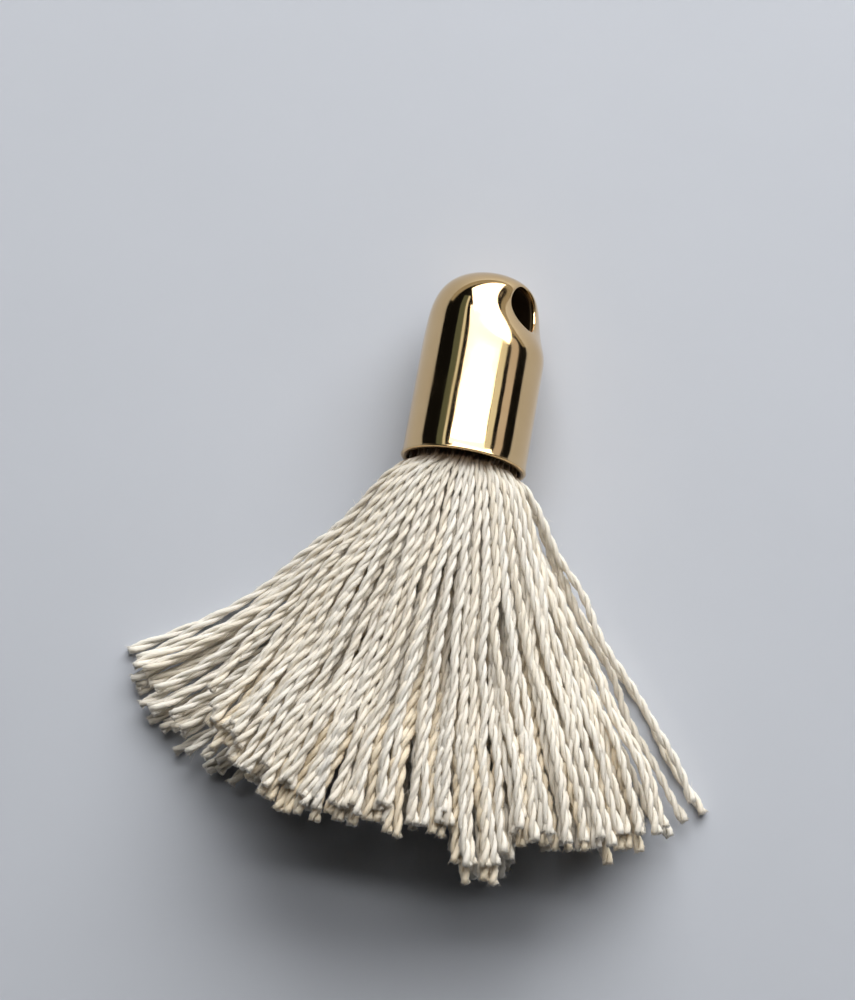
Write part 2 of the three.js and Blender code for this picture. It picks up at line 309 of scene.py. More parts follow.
class TasselYarnSettings(bpy.types.PropertyGroup):
    """Sizes and colour of the yarn"""

    ply_radius: FloatProperty(
        name="Ply Radius", description="Half the thickness of one ply",
        default=0.119 * MM, unit="LENGTH", precision=6,
    )
    ply_orbit: FloatProperty(
        name="Ply Orbit", description="How far a ply lies from the strand's line",
        default=0.099 * MM, unit="LENGTH", precision=6,
    )
    pitch: FloatProperty(
        name="Twist Pitch", description="Length of one full turn of the plies",
        default=1.95 * MM, unit="LENGTH", precision=5,
    )
    wave: FloatProperty(
        name="Wave", description="How far a strand strays from its line",
        default=0.1 * MM, unit="LENGTH", precision=6,
    )
    clump: FloatProperty(
        name="Clump", description="How far neighbours lean together",
        default=0.11 * MM, unit="LENGTH", precision=6,
    )
    bloom: FloatProperty(
        name="Bloom", description="Share by which a cut end swells",
        default=0.3, subtype="FACTOR", min=0, max=1,
    )
    swell: FloatProperty(
        name="Swell", description="Share by which the bundle swells to fill the mouth",
        default=0.17, subtype="FACTOR",
    )
    turn_steps: IntProperty(name="Turn Steps", description="Sections along one turn", default=10, min=6)
    ply_sides: IntProperty(name="Ply Sides", description="Faces round a ply", default=7, min=5)
    end_fibres: IntProperty(
        name="End Fibres", description="Loose fibres at each cut end", default=34, min=0,
    )
    fuzz_fibres: IntProperty(
        name="Fuzz Fibres", description="Stray fibres along each strand", default=28, min=0,
    )
    fibre_radius: FloatProperty(
        name="Fibre Radius", description="Half the thickness of a loose fibre",
        default=0.011 * MM, unit="LENGTH", precision=6,
    )
    colour: FloatVectorProperty(
        name="Cotton", description="Colour of the yarn",
        default=(0.96, 0.93, 0.88), subtype="COLOR",
    )
    # Darker cotton for streaks and patches, and the painted shade of the strands under the crown
    darker_and_shaded_cotton: FloatVectorProperty(
        name="Darker Cotton", description="Colour of the darker fibres",
        default=(0.86, 0.74, 0.56), subtype="COLOR",
    )
    # Painted shade: the yarn at the cap's mouth and the gathered head inside it are coloured dark brown
    # for the shadow under the rim and inside the cap
    root: FloatVectorProperty(
        name="Gripped Cotton", description="Colour where the cap grips the yarn",
        default=(0.42, 0.29, 0.18), subtype="COLOR",
    )


class TasselStageSettings(bpy.types.PropertyGroup):
    """Floor, lights and camera"""

    floor: FloatVectorProperty(
        name="Floor", description="Colour of the floor",
        default=(0.555, 0.585, 0.65), subtype="COLOR",
    )
    azimuth: FloatProperty(
        name="Azimuth", description="Camera's turn round the part",
        default=math.radians(10), subtype="ANGLE",
    )
    elevation: FloatProperty(
        name="Elevation", description="Camera's height above the horizon",
        default=math.radians(76), subtype="ANGLE",
    )
    distance: FloatProperty(
        name="Distance", description="From the camera to the cap's mouth",
        default=140 * MM, unit="LENGTH",
    )
    brightness: FloatProperty(
        name="Brightness", description="Factor on the strength of every lamp",
        default=1.0, min=0,
    )


# Meshes


def mix(low, high, share):
    return low + (high - low) * share


def smoothstep(value, low, high):
    share = np.clip((value - low) / (high - low), 0, 1)
    return share * share * (3 - 2 * share)


def unit(vectors):
    return vectors / np.linalg.norm(vectors, axis=-1, keepdims=True)


class Sheet:
    """Gathers points, faces, face-corner coordinates and tones for one mesh"""

    def __init__(self):
        self.points, self.faces, self.corners, self.tones = [], [], [], []
        self.count = 0

    def add(self, points, faces, corners=None, tone=0.0):
        """faces is a list of index arrays, each with one width; corners holds their face corners"""
        points = np.asarray(points, float).reshape(-1, 3)
        self.points.append(points)
        for i, block in enumerate(faces):
            block = np.asarray(block, np.int64)
            self.faces.append(block + self.count)
            self.corners.append(np.zeros((*block.shape, 2)) if corners is None else corners[i])
        self.tones.append(np.broadcast_to(np.asarray(tone, float), len(points)))
        self.count += len(points)

    def build(self, name, material, node, slot):
        """The piece, bound to the frame"""
        points = np.concatenate(self.points).astype(np.float32)
        loops = np.concatenate([f.ravel() for f in self.faces]).astype(np.int32)
        sizes = np.concatenate([np.full(len(f), f.shape[1]) for f in self.faces])
        starts = np.concatenate([[0], np.cumsum(sizes)[:-1]]).astype(np.int32)
        mesh = bpy.data.meshes.new(name)
        mesh.vertices.add(len(points))
        mesh.vertices.foreach_set("co", points.ravel())
        mesh.loops.add(len(loops))
        mesh.loops.foreach_set("vertex_index", loops)
        mesh.polygons.add(len(sizes))
        mesh.polygons.foreach_set("loop_start", starts)
        mesh.update(calc_edges=True)
        if mesh.validate():
            raise RuntimeError(f"{name} has faces that can't be used")
        mesh.shade_smooth()
        layer = mesh.uv_layers.new(name="run")
        corners = np.concatenate([c.reshape(-1, 2) for c in self.corners]).astype(np.float32)
        layer.data.foreach_set("uv", corners.ravel())
        tones = mesh.attributes.new("tone", "FLOAT", "POINT")
        tones.data.foreach_set("value", np.concatenate(self.tones).astype(np.float32))
        mesh.materials.append(material)
        piece = bpy.data.objects.new(name, mesh)
        bpy.context.scene.collection.objects.link(piece)
        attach(piece, "root")
        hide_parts(node)
        return piece


# Cap


def cap_place(points):
    """Points of the cap, mouth at y = 0 and tip along +Y, as the cap lies"""
    turn = np.array(Matrix.Rotation(-CAP_LEAN, 3, "X"))
    return np.asarray(points) @ turn.T + np.array(MOUTH)


def shell_radius(y, inset):
    """The shell's radius at a distance from the mouth, made smaller all round by inset"""
    base = CAP_LENGTH - DOME_HEIGHT
    tube = mix(MOUTH_RADIUS - RIM_FLARE, SHOULDER_RADIUS, np.clip(y / base, 0, 1)) - inset
    tube += RIM_FLARE * np.clip(1 - y / RIM_FLARE_LENGTH, 0, 1) ** 2
    up = np.clip((y - base) / (DOME_HEIGHT - inset), 0, 1)
    dome = (SHOULDER_RADIUS - inset) * (1 - up**DOME_SQUARENESS) ** (1 / DOME_SQUARENESS)
    return np.where(y > base, dome, tube)


def pressed_height(cap, height, y, inset, near_side):
    """A height along the hole's axis once the punch has pressed the wall in"""
    away = np.clip(np.abs(y - (CAP_LENGTH - HOLE_FROM_TIP)) / PINCH_REACH, 0, 1)
    press = np.where(near_side, cap.press_near, cap.press_far)
    return height - press * np.cos(math.pi / 2 * away) ** 2 * (height / (SHOULDER_RADIUS - inset)) ** 2


def shell_profile(cap):
    """Rows of the shell from the outer tip over the lip to the inner tip, as (radius, y, inset)"""
    base = CAP_LENGTH - DOME_HEIGHT
    inner_lip = INNER_LIP_SHARE * cap.lip_length
    turns = np.linspace(0, math.pi / 2, DOME_STEPS + 1)[1:-1]

    def dome(inset):
        inward = (SHOULDER_RADIUS - inset) * np.cos(turns) ** (2 / DOME_SQUARENESS)
        upward = base + (DOME_HEIGHT - inset) * np.sin(turns) ** (2 / DOME_SQUARENESS)
        return np.stack([inward, upward, np.full_like(turns, inset)], 1)

    def tube(inset, low, rows):
        y = low + (base - low) * np.linspace(0, 1, rows) ** ROW_CROWDING
        return np.stack([shell_radius(y, inset), y, np.full_like(y, inset)], 1)

    # The lip: a long rounding outside, a short one inside
    roll = np.linspace(0, math.pi, LIP_STEPS + 1)[1:-1]
    middle = MOUTH_RADIUS - 0.5 * CAP_WALL
    depth = np.where(roll < math.pi / 2, cap.lip_length, inner_lip)
    radius = middle + 0.5 * CAP_WALL * np.cos(roll)
    inset = 0.5 * CAP_WALL * (1 - np.cos(roll))
    lip = np.stack([radius, depth * (1 - np.sin(roll)), inset], 1)
    outside = tube(0.0, cap.lip_length, TUBE_ROWS["outside"])[::-1]
    inside = tube(CAP_WALL, inner_lip, TUBE_ROWS["inside"])
    return np.concatenate([dome(0.0)[::-1], outside, lip, inside, dome(CAP_WALL)])


def hole_patch(cap, start, inset, sign, angles):
    """Rows of points from the rim of a gap in the shell to the round hole, on the pressed wall"""
    centre_y = CAP_LENGTH - HOLE_FROM_TIP
    edge = cap.hole_edge if inset == 0 else INNER_HOLE_EDGE
    outer = 0.5 * cap.hole_diameter + edge

    def ring(radius):
        return np.stack([radius * np.cos(angles), centre_y + radius * np.sin(angles)], 1)

    rows = [(mix(start, ring(outer), share), 0.0) for share in np.linspace(0, 1, HOLE_RINGS + 1)[1:]]
    # The edge rolls over into the hole
    for roll in np.linspace(0, math.pi / 2, HOLE_EDGE_STEPS + 1)[1:]:
        rows.append((ring(outer - edge * math.sin(roll)), edge * (1 - math.cos(roll))))
    made = []
    for flat, drop in rows:
        across, y = flat.T
        round_height = np.sqrt(np.maximum(shell_radius(y, inset) ** 2 - across**2, 0))
        height = pressed_height(cap, round_height, y, inset, sign > 0)
        height = height - drop if inset == 0 else height + drop
        made.append(np.stack([sign * height, across, y], 1))
    return made


def cap_shell(cap):
    """The cap as one closed shell: outside, lip, inside and the walls of the cross hole"""
    rows = shell_profile(cap)
    columns = cap.columns
    angle = 2 * math.pi * np.arange(columns) / columns
    radius, y, inset = rows.T[:, :, None]
    along, across, y = np.broadcast_arrays(radius * np.cos(angle), radius * np.sin(angle), y)
    pressed = pressed_height(cap, np.abs(along), y, inset, along > 0) * np.sign(along)
    grid = np.stack([pressed, across, y], -1)
    flat = np.stack([across, y], -1).reshape(-1, 2)
    count = len(rows)
    index = np.arange(count * columns).reshape(count, columns)
    keep = np.ones((count - 1, columns), bool)
    sheet = Sheet()
    points, faces = [grid.reshape(-1, 3)], []
    depths = [np.repeat(rows[:, 2], columns)]
    total = count * columns

    # The gap for a hole spans the same columns and number of rows outside and inside
    half = round(columns * HOLE_GAP_SHARE)
    in_gap = (rows[:, 1] > HOLE_GAP_ROWS[0]) & (rows[:, 1] < HOLE_GAP_ROWS[1])
    outer_rows = np.flatnonzero(in_gap & (rows[:, 2] == 0))[::-1]
    inner_rows = np.flatnonzero(in_gap & (rows[:, 2] == CAP_WALL))
    span = min(len(outer_rows), len(inner_rows))
    for sign, middle in ((1, 0), (-1, columns // 2)):
        picked = (np.arange(-half, half + 1) + middle) % columns
        ends = []
        angles = None
        for line, wall in ((outer_rows[:span], 0.0), (inner_rows[:span], CAP_WALL)):
            over, down = index[line[0], picked[:-1]], index[line[:-1], picked[-1]]
            back, up = index[line[-1], picked[:0:-1]], index[line[:0:-1], picked[0]]
            rim = np.concatenate([over, down, back, up])
            keep[line.min() : line.max(), picked[:-1]] = False
            if angles is None:
                offset = flat[rim] - np.array([0, CAP_LENGTH - HOLE_FROM_TIP])
                angles = np.arctan2(offset[:, 1], offset[:, 0])
            rings = [rim]
            for row in hole_patch(cap, flat[rim], wall, sign, angles):
                rings.append(total + np.arange(len(rim)))
                points.append(row)
                depths.append(np.full(len(rim), wall))
                total += len(rim)
            for a, b in zip(rings, rings[1:]):
                faces.append(band(a, b) if wall == 0 else band(b, a))
            ends.append(rings[-1])
        faces.append(band(ends[0], ends[1]))

    # Faces of the grid, and a fan at either tip
    r, c = np.nonzero(keep)
    n = (c + 1) % columns
    faces.append(np.stack([index[r + 1, c], index[r + 1, n], index[r, n], index[r, c]], 1))
    tips = []
    for row, tip, wall in ((0, CAP_LENGTH, 0.0), (count - 1, CAP_LENGTH - CAP_WALL, CAP_WALL)):
        points.append(np.array([[0.0, 0.0, tip]]))
        depths.append(np.array([wall]))
        fan = np.stack([index[row], np.roll(index[row], -1), np.full(columns, total)], 1)
        tips.append(fan if wall == 0 else fan[:, ::-1])
        total += 1
    local = np.concatenate(points)
    hole = (math.cos(HOLE_TILT), 0, math.sin(HOLE_TILT))
    side = (math.sin(HOLE_TILT), 0, -math.cos(HOLE_TILT))
    placed = local @ np.array([hole, side, (0, 1, 0)])
    # How far each point lies inside the wall; the metal paints shade over the inside by it
    inward = np.concatenate(depths) / CAP_WALL
    sheet.add(cap_place(placed), [np.concatenate(faces), np.concatenate(tips)], tone=inward)
    return sheet


def band(a, b):
    """Quads between two closed rings of the same number of points"""
    return np.stack([a, np.roll(a, -1), np.roll(b, -1), b], 1)


# Yarn


def scatter(number, trait):
    """A repeatable value from -1 to 1 for a strand's number and the trait it varies"""
    wave = math.sin(number * STRAND_STRIDE + TRAIT[trait] * TRAIT_STRIDE) * SCATTER_SCALE
    return 2 * (wave - math.floor(wave)) - 1


def waves(table, run, phase):
    """The sum of some waves along a run, each moved by its own multiple of a phase"""
    return sum(wave.share * np.sin(run / wave.length + wave.phase * phase) for wave in table)


def column(offset):
    """A column's place across the head, half its height there and the layers that this holds"""
    x = offset * COLUMN_SPACING
    chord = math.sqrt(ROOT_RING**2 - x * x)
    return x, chord, 2 * chord / STACK_SPACING + 1


def strand_roots():
    """Where the strands leave the head: columns stacked across its round end, each counted from below"""
    roots = []
    half = (COLUMN_COUNT - 1) // 2
    for offset in range(-half, half + 1):
        x, chord, layers = column(offset)
        layers = math.floor(layers)
        crown_lanes = CROWN_LANES["side"] if offset else CROWN_LANES["middle"]
        if offset < 0:
            crown_lanes = [-lane for lane in crown_lanes]
        for layer in range(layers):
            number = len(roots)
            level = (layer - (layers - 1) / 2) * STACK_SPACING
            from_top = layers - 1 - layer
            in_crown = from_top < CROWN_COUNT and layer >= FLOOR_LAYERS
            lane = crown_lanes[from_top] if in_crown else LOW_LANES[layer % len(LOW_LANES)]
            root_x = x + ROOT_SCATTER * scatter(number, "root_x")
            rise = level + ROOT_SCATTER * scatter(number, "root_rise")
            roots.append(Root(number, root_x, rise, chord / ROOT_RING, layer, layers, lane, in_crown, 0.0))
    return roots


def between_roots():
    """Roots by piece of the strands between the columns and in the locks on the floor at either side"""
    pieces = {between.piece: [] for between in BETWEENS} | {piece: [] for piece in LOCK_COLUMNS}
    number = BETWEEN_FIRST_NUMBER
    for gap in range(1, COLUMN_COUNT - 2):
        offset = gap - (COLUMN_COUNT - 2) / 2
        x, chord, layers = column(offset)
        for between in BETWEENS:
            sink, depth = between.sink * MM, between.depth * MM
            rise = chord - depth + ROOT_SCATTER * scatter(number, "root_rise")
            lane = between.lane if offset > 0 else -between.lane
            layer = layers - 1 - depth / STACK_SPACING
            root = Root(number, x, rise, chord / ROOT_RING, layer, layers, lane, True, sink)
            pieces[between.piece].append(root)
            number += 1
    for piece, offsets in LOCK_COLUMNS.items():
        for offset in offsets:
            x, chord, layers = column(offset)
            for layer in LOCK_LAYERS:
                rise = layer * STACK_SPACING - chord
                lane = LOCK_SPREAD * scatter(number, "lane")
                root = Root(number, x, rise, chord / ROOT_RING, layer, layers, lane, False, 0.0)
                pieces[piece].append(root)
                number += 1
    return pieces


def roots_by_piece():
    """All the strands' roots, by the piece that they are made in"""
    roots = strand_roots()
    pieces = {name: [r for r in roots if r.layer in layers] for name, layers in STRAND_PIECES.items()}
    return pieces | between_roots()


def tier_height(root, rest, crown_end):
    """Where a strand's end settles: in the stack on the floor, in the middle, or in the crown"""
    if root.sink:
        return max(rest, crown_end - root.sink)
    if root.layer < FLOOR_LAYERS:
        return rest + FLOOR_STACK * root.layer
    from_top = root.layers - 1 - root.layer
    if from_top < CROWN_COUNT:
        return crown_end - CROWN_STEP * max(0, from_top - 1)
    middle = (root.layer - FLOOR_LAYERS + 0.5) / (root.layers - FLOOR_LAYERS - CROWN_COUNT)
    return mix(rest + FLOOR_STACK * FLOOR_LAYERS, crown_end - CROWN_GAP, middle)


def plan_line(root, place, length, lowness, along):
    """A line over the floor: it springs outward as it clears the mouth, then runs off at its own angle"""
    left = place < 0
    fan = np.where(left, *(mix(CROWN_FAN[side], FLOOR_FAN[side], lowness) for side in ("left", "right")))
    angle = place * fan
    start = np.array([root.x, HEAD_SINK - ROOT_STUB])
    corner_y = np.full_like(place, start[1] - FLARE_LENGTH)
    corner = np.stack([place * ROOT_RING * (1 + FLARE), corner_y], 1)
    reach = length - ROOT_STUB - FLARE_LENGTH
    end = corner + reach * np.stack([np.sin(angle), -np.cos(angle)], 1)
    handle = mix(corner, end, FLARE_EASE)
    t = np.linspace(0, 1, CURVE_STEPS + 1)[None, :, None]
    near, far = 3 * t * (1 - t) ** 2 * corner[:, None], 3 * t**2 * (1 - t) * handle[:, None]
    curve = (1 - t) ** 3 * start + near + far + t**3 * end[:, None]
    steps = np.linalg.norm(np.diff(curve, axis=1), axis=2)
    run = np.concatenate([np.zeros((len(place), 1)), np.cumsum(steps, 1)], 1)
    lines = zip(along, run, curve)
    return np.array([[np.interp(a * r[-1], r, c[:, i]) for i in range(2)] for a, r, c in lines])


def strand(yarn, root):
    """A strand's line from inside the cap to its cut end"""
    radius = yarn.ply_radius + yarn.ply_orbit
    rest = REST_SHARE * radius
    on_floor = root.layer == 0
    crown_end = CROWN_HEIGHT * root.crown**CROWN_ROUNDNESS
    stack_top = rest + FLOOR_STACK * min(root.layers - 1, FLOOR_LAYERS)
    open_height = mix(rest, max(crown_end, stack_top), root.layer / (root.layers - 1))
    end_height = tier_height(root, rest, crown_end)

    # The strand's lane, its reach and how far it keeps to the floor
    lane = root.lane + LANE_SCATTER * scatter(root.number, "lane")
    across = (root.x + lane * COLUMN_SPACING) / ROOT_RING
    lowness = 0.0 if root.in_crown else max(0.0, 1 - root.layer / FLOOR_LAYERS)
    length = MM * np.interp(across, list(TRIMS), list(TRIMS.values())) - FLOOR_TRIM * lowness
    under = root.sink > UNDER_CROWN
    length += LENGTH_SCATTER * scatter(root.number, "length") + (UNDER_LENGTH if under else 0)

    # Free run, then the straight stub that goes back into the head
    along = np.linspace(0, 1, int(round(length / yarn.pitch * yarn.turn_steps)) + 1)
    travelled = along * length
    settling = np.minimum(1, travelled / (LANDING if on_floor else length))
    target = mix(open_height, end_height, smoothstep(travelled, *TIER_OPENING))
    height = mix(MOUTH.z + root.rise, target, 1 - (1 - settling) ** 2)
    place = mix(root.x / ROOT_RING, across, smoothstep(travelled, *LANE_OPENING))
    flat = plan_line(root, place, length, lowness, along)
    curl = np.where(place < 0, -FLOOR_CURL["left"], FLOOR_CURL["right"])
    curl = curl * smoothstep(np.abs(place), 0, CURL_PLACE)
    sway = SWAY * along * np.sin(2 * math.pi * along + SWAY_PHASE * across)
    sway += curl * math.sqrt(lowness) * along**CURL_EASE
    free = np.stack([flat[:, 0] + sway, flat[:, 1], height], 1)
    back = np.linspace(-(ROOT_STUB + ROOT_DEPTH), 0, STUB_STEPS + 1)[:-1]
    stub = np.array([[root.x, HEAD_SINK - ROOT_STUB - step, MOUTH.z + root.rise] for step in back])
    line = np.concatenate([stub, free])
    travelled = np.concatenate([back, travelled])

    # The bundle swells to fill the mouth, and each strand strays a little from its line
    swell = yarn.swell * mix(1.0, SWELL_PEAK, smoothstep(travelled, *SWELL_GROWTH))
    swell *= 1 - smoothstep(travelled, *SWELL_FADE)
    line[:, 0] += swell * root.x
    line[:, 2] += SWELL_UPWARD * swell * root.rise
    phase = math.pi * scatter(root.number, "wave")
    loose = yarn.wave * smoothstep(travelled, *LOOSENING)
    loose *= EDGE_LOOSENESS if abs(across) > EDGE_PLACE else 1.0
    line[:, 0] += loose * waves(STRAY_ACROSS, travelled, phase)
    line[:, 2] += loose * waves(STRAY_UPWARD, travelled, phase)

    # Neighbours lean together into clumps, and those under the crown into the gaps between them
    lean = -yarn.clump if under else yarn.clump
    line[:, 0] += lean * waves(CLUMPS, 2 * math.pi * across, 1) * smoothstep(travelled, *LEANING)

    # It is slimmer near its root, fuller under the crown and swollen at its cut end
    left = length - travelled
    fullness = UNDER_FULLNESS if under else 0.0
    girth = mix(ROOT_GIRTH, 1.0, smoothstep(travelled, *GIRTH_OPENING))
    girth *= 1 + fullness * smoothstep(left, *UNDER_TAPER) + waves(SLUBS, travelled, phase)
    girth *= 1 + yarn.bloom * (1 - smoothstep(left, 0, BLOOM_LENGTH))
    line[:, 2] = np.maximum(line[:, 2], girth * radius + FLOOR_CLEARANCE)
    line[:, :2] += np.array(MOUTH)[:2]
    # Random tone, and painted shade on the strands under the crown
    tone = TONE_SCATTER * scatter(root.number, "tone") + (UNDER_PAINTED_SHADE if under else 0)
    return Strand(root, line, travelled, girth, tone)


def strand_frame(line):
    """Directions along, over and to the side of a line"""
    along = unit(np.gradient(line, axis=0))
    side = unit(np.cross(along, [0, 0, 1]))
    return along, np.cross(side, along), side


def spokes(turn, over, side):
    """Directions round a line, turned from over it towards its side"""
    return np.cos(turn)[..., None] * over + np.sin(turn)[..., None] * side


def add_strand(sheet, yarn, one):
    """The two plies of a strand, wound round its line and flattened where they press together"""
    along, over, side = strand_frame(one.line)
    number = one.root.number
    pitch = yarn.pitch * (1 + PITCH_SCATTER * scatter(number, "pitch"))
    phase = math.pi * scatter(number, "twist") + 2 * math.pi * one.travelled / pitch
    phase += waves(TWIST_DRIFT, one.travelled, scatter(number, "wave"))
    sides = yarn.ply_sides
    for ply in range(2):
        out = spokes(phase + math.pi * ply, over, side)
        orbit = (yarn.ply_orbit * one.girth)[:, None]
        centre = one.line + orbit * out
        run = unit(np.gradient(centre, axis=0))
        out = unit(out - run * np.sum(out * run, axis=1, keepdims=True))
        cross = np.cross(run, out)
        ring = 2 * math.pi * (np.arange(sides) + 0.5) / sides
        radius = yarn.ply_radius * one.girth[:, None]
        radial = np.maximum(radius * np.cos(ring), -orbit + PLY_GAP)
        lateral = PLY_WIDENING * radius * np.sin(ring)
        points = centre[:, None] + radial[..., None] * out[:, None] + lateral[..., None] * cross[:, None]
        tone = one.tone + PLY_TONE * ply
        add_tube(sheet, points, one.travelled / MM, run, PLY_DOME * yarn.ply_radius, tone)


def add_tube(sheet, points, run_length, run, dome, tone):
    """A closed tube through rings of points, with a low dome on either end"""
    rings, sides = points.shape[:2]
    index = np.arange(rings * sides).reshape(rings, sides)
    a, b = index[:-1], index[1:]
    quads = np.stack([a, np.roll(a, -1, 1), np.roll(b, -1, 1), b], -1).reshape(-1, 4)
    grid = np.stack(np.meshgrid(np.arange(sides + 1) / sides, run_length), -1)
    loop = (grid[:-1, :-1], grid[:-1, 1:], grid[1:, 1:], grid[1:, :-1])
    corners = np.stack(loop, 2).reshape(-1, 4, 2)
    tips = np.stack([points[0].mean(0) - dome * run[0], points[-1].mean(0) + dome * run[-1]])
    total = rings * sides
    first = np.stack([np.roll(index[0], -1), index[0], np.full(sides, total)], 1)
    last = np.stack([index[-1], np.roll(index[-1], -1), np.full(sides, total + 1)], 1)
    fans = np.concatenate([first, last])
    ends = np.repeat(run_length[[0, -1]], 3 * sides).reshape(-1, 3)
    fan_corners = np.stack([0.5 + 0 * ends, ends], -1)
    points = np.concatenate([points.reshape(-1, 3), tips])
    sheet.add(points, [quads, fans], [corners, fan_corners], tone)


def add_fibres(sheet, rng, hair, base, heading, radius, tone):
    """Fine three-sided hairs, each closed and tapering to its tip"""
    count = len(base)
    bend = hair.bend * rng.normal(size=(count, 3))
    length = rng.uniform(hair.shortest, hair.longest, count) * MM
    tone = tone + FIBRE_TONE_SCATTER * rng.normal(size=count)
    radius = hair.girth * radius
    steps = FIBRE_STEPS[None, :, None]
    path = base[:, None] + length[:, None, None] * (steps * heading[:, None] + steps**2 * bend[:, None])
    path[..., 2] = np.maximum(path[..., 2], FIBRE_CLEARANCE * radius)
    run = unit(path[:, 1] - path[:, 0])
    upright = np.abs(run[:, 2:]) > 0.9
    side = unit(np.cross(run, np.where(upright, [[1.0, 0, 0]], [[0, 0, 1.0]])))
    over = np.cross(side, run)
    ring = 2 * math.pi * np.arange(3) / 3
    thick = radius * FIBRE_TAPER
    spoke = spokes(ring, side[:, None], over[:, None])
    rings = path[:, :3, None] + thick[None, :, None, None] * spoke[:, None]
    points = np.concatenate([rings.reshape(count, 9, 3), path[:, 3:4]], 1)
    start = (10 * np.arange(count))[:, None, None]
    one_quads = [
        [3 * k + j, 3 * k + (j + 1) % 3, 3 * k + 3 + (j + 1) % 3, 3 * k + 3 + j]
        for k in range(2)
        for j in range(3)
    ]
    one_tris = [[6 + j, 6 + (j + 1) % 3, 9] for j in range(3)] + [[2, 1, 0]]
    quads = (start + np.array(one_quads)).reshape(-1, 4)[:, ::-1]
    tris = (start + np.array(one_tris)).reshape(-1, 3)[:, ::-1]
    corners = [np.full((*block.shape, 2), FIBRE_RUN) for block in (quads, tris)]
    sheet.add(points.reshape(-1, 3), [quads, tris], corners, np.repeat(tone, 10))


# Materials


def new_material(name):
    """A material, its node tree and its Principled shader"""
    material = bpy.data.materials.new(name)
    material.use_nodes = True
    tree = material.node_tree
    return material, tree, tree.nodes["Principled BSDF"]


def give(tree, socket, value):
    """Links an output to an input, or sets the input to a value"""
    if isinstance(value, bpy.types.NodeSocket):
        tree.links.new(value, socket)
    else:
        socket.default_value = value


def fill(tree, node, **inputs):
    """Sets or links some of a node's inputs"""
    for key, value in inputs.items():
        give(tree, node.inputs[key.replace("_", " ")], value)
    return node


def place(tree, kind, **inputs):
    """A new node with some of its inputs set or linked"""
    return fill(tree, tree.nodes.new(kind), **inputs)


def arithmetic(tree, operation, *values):
    """A number worked out from others"""
    node = tree.nodes.new("ShaderNodeMath")
    node.operation = operation
    for socket, value in zip(node.inputs, values):
        give(tree, socket, value)
    return node


def noise(tree, where, scale, detail, roughness=0.5):
    """Cloudy noise from 0 to 1"""
    node = place(tree, "ShaderNodeTexNoise", Vector=where, Scale=scale, Detail=detail, Roughness=roughness)
    return node.outputs["Fac"]


def tone_of(tree):
    """The tone given to each point of the mesh"""
    node = tree.nodes.new("ShaderNodeAttribute")
    node.attribute_name = "tone"
    return node.outputs["Fac"]


def mottle_group():
    """Soft uneven patches with a finer grain over them, for metal, yarn and floor"""
    tree = bpy.data.node_groups.get("Soft Mottle")
    if tree:
        return tree
    tree = bpy.data.node_groups.new("Soft Mottle", "ShaderNodeTree")
    for name, default in (("Patch Scale", 300.0), ("Grain Scale", 4000.0), ("Contrast", 1.0)):
        socket = tree.interface.new_socket(name, in_out="INPUT", socket_type="NodeSocketFloat")
        socket.default_value = default
    for name in ("Patches", "Grain"):
        tree.interface.new_socket(name, in_out="OUTPUT", socket_type="NodeSocketFloat")
    given = tree.nodes.new("NodeGroupInput")
    result = tree.nodes.new("NodeGroupOutput")
    where = tree.nodes.new("ShaderNodeTexCoord").outputs["Object"]
    for scale, output, detail in (("Patch Scale", "Patches", 4.0), ("Grain Scale", "Grain", 3.0)):
        cloud = noise(tree, where, given.outputs[scale], detail, roughness=0.55)
        centred = arithmetic(tree, "SUBTRACT", cloud, 0.5).outputs[0]
        scaled = arithmetic(tree, "MULTIPLY_ADD", centred, given.outputs["Contrast"], 0.5)
        scaled.use_clamp = True
        tree.links.new(scaled.outputs[0], result.inputs[output])
    return tree


def mottle(tree, patch_scale, grain_scale, contrast):
    """The patches and the grain of a mottle at some scale"""
    node = tree.nodes.new("ShaderNodeGroup")
    node.node_tree = mottle_group()
    fill(tree, node, Patch_Scale=patch_scale, Grain_Scale=grain_scale, Contrast=contrast)
    return node.outputs["Patches"], node.outputs["Grain"]


def colour_mix(tree, share, low, high):
    """A colour between two others"""
    node = tree.nodes.new("ShaderNodeMix")
    node.data_type = "RGBA"
    tree.links.new(share, node.inputs["Factor"])
    for socket, value in ((node.inputs[6], low), (node.inputs[7], high)):
        give(tree, socket, value if isinstance(value, bpy.types.NodeSocket) else (*value, 1.0))
    return node.outputs[2]


def ranged(tree, value, low, high):
    """A number that runs from low to high as a mask runs from 0 to 1"""
    return place(tree, "ShaderNodeMapRange", Value=value, To_Min=low, To_Max=high).outputs["Result"]


def faded(tree, value, low, high):
    """A mask that rises softly from 0 to 1 as a value passes from low to high"""
    node = place(tree, "ShaderNodeMapRange", Value=value, From_Min=low, From_Max=high)
    node.interpolation_type = "SMOOTHSTEP"
    return node.outputs["Result"]


def relief(tree, height, strength, distance, under=None):
    """The normal of a bumpy surface, on top of another relief"""
    node = place(tree, "ShaderNodeBump", Height=height, Strength=strength, Distance=distance)
    if under:
        tree.links.new(under, node.inputs["Normal"])
    return node.outputs["Normal"]


